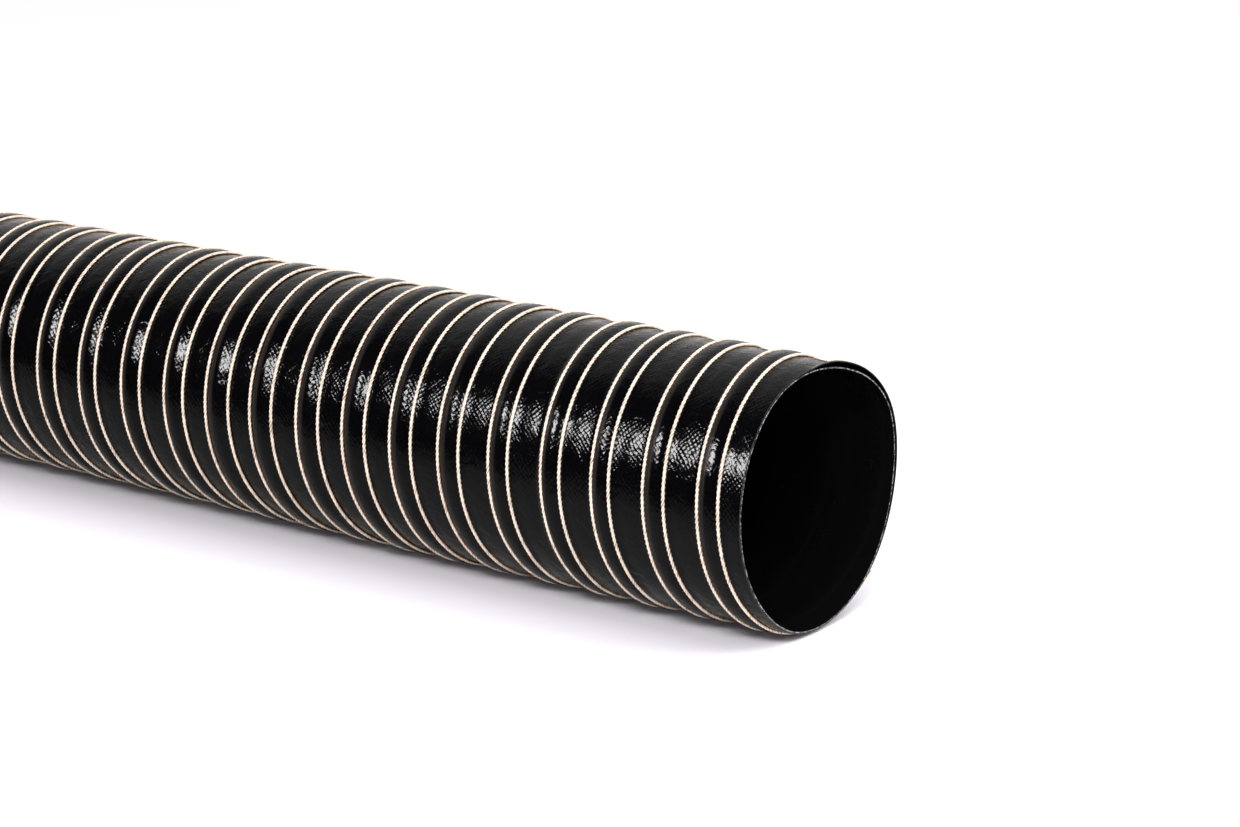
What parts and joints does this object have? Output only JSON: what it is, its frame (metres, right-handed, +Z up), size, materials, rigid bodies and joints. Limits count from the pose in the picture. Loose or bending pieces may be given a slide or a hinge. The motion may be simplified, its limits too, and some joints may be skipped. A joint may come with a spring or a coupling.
{
  "type": "flexible air duct",
  "caption": "Straight cut length of flexible two-ply air duct: open bore, helical wire ridge in the wall and two cords wound round the outside.",
  "frame": {"origin": "on the floor under the duct's axis, halfway along the duct", "axes": "+X along the duct towards the end where the ridge runs out on the far upper side, +Y across, +Z up"},
  "size_m": [0.6, 0.1084, 0.1078],
  "materials": {
    "lining_fabric": "black rubber-coated glass fabric, satin",
    "coated_fabric": "black rubber-coated glass fabric, glossy, with the weave showing through",
    "spring_wire": "drawn spring steel wire, bright",
    "glass_cord": "twisted glass cord, cream"
  },
  "bodies": {
    "root": {"inner_ply": "lining_fabric", "outer_ply": "coated_fabric", "wire_helix": "spring_wire", "left_cord": "glass_cord", "right_cord": "glass_cord"}
  },
  "joints": []
}
